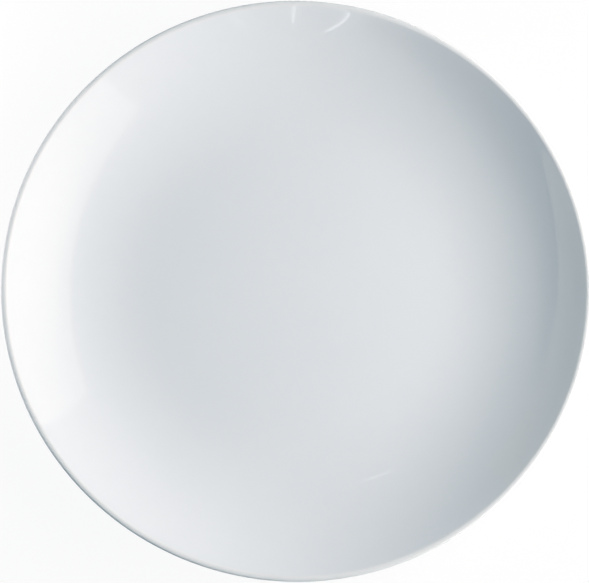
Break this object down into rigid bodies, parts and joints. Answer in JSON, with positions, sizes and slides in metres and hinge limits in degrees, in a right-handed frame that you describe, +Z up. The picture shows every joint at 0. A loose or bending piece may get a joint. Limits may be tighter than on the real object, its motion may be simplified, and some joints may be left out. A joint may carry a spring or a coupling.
{
  "type": "dessert plate",
  "caption": "Round rimless dessert plate in white glazed porcelain, with a flat well, a curved flank, a rounded lip and a bare foot ring.",
  "frame": {"origin": "centre of the foot ring's resting face", "axes": "+Z up along the plate's axis of revolution, out of the eating surface; X and Y in the resting face"},
  "size_m": [0.2, 0.2, 0.024],
  "materials": {
    "bare_porcelain": "matt, fired and ground, not glazed",
    "outer_white_glaze": "high gloss white glaze with a cool tint",
    "base_white_glaze": "high gloss white glaze with a cool tint"
  },
  "bodies": {
    "root": {"porcelain_body": "bare_porcelain", "outer_glaze": "outer_white_glaze", "base_glaze": "base_white_glaze"}
  },
  "joints": []
}
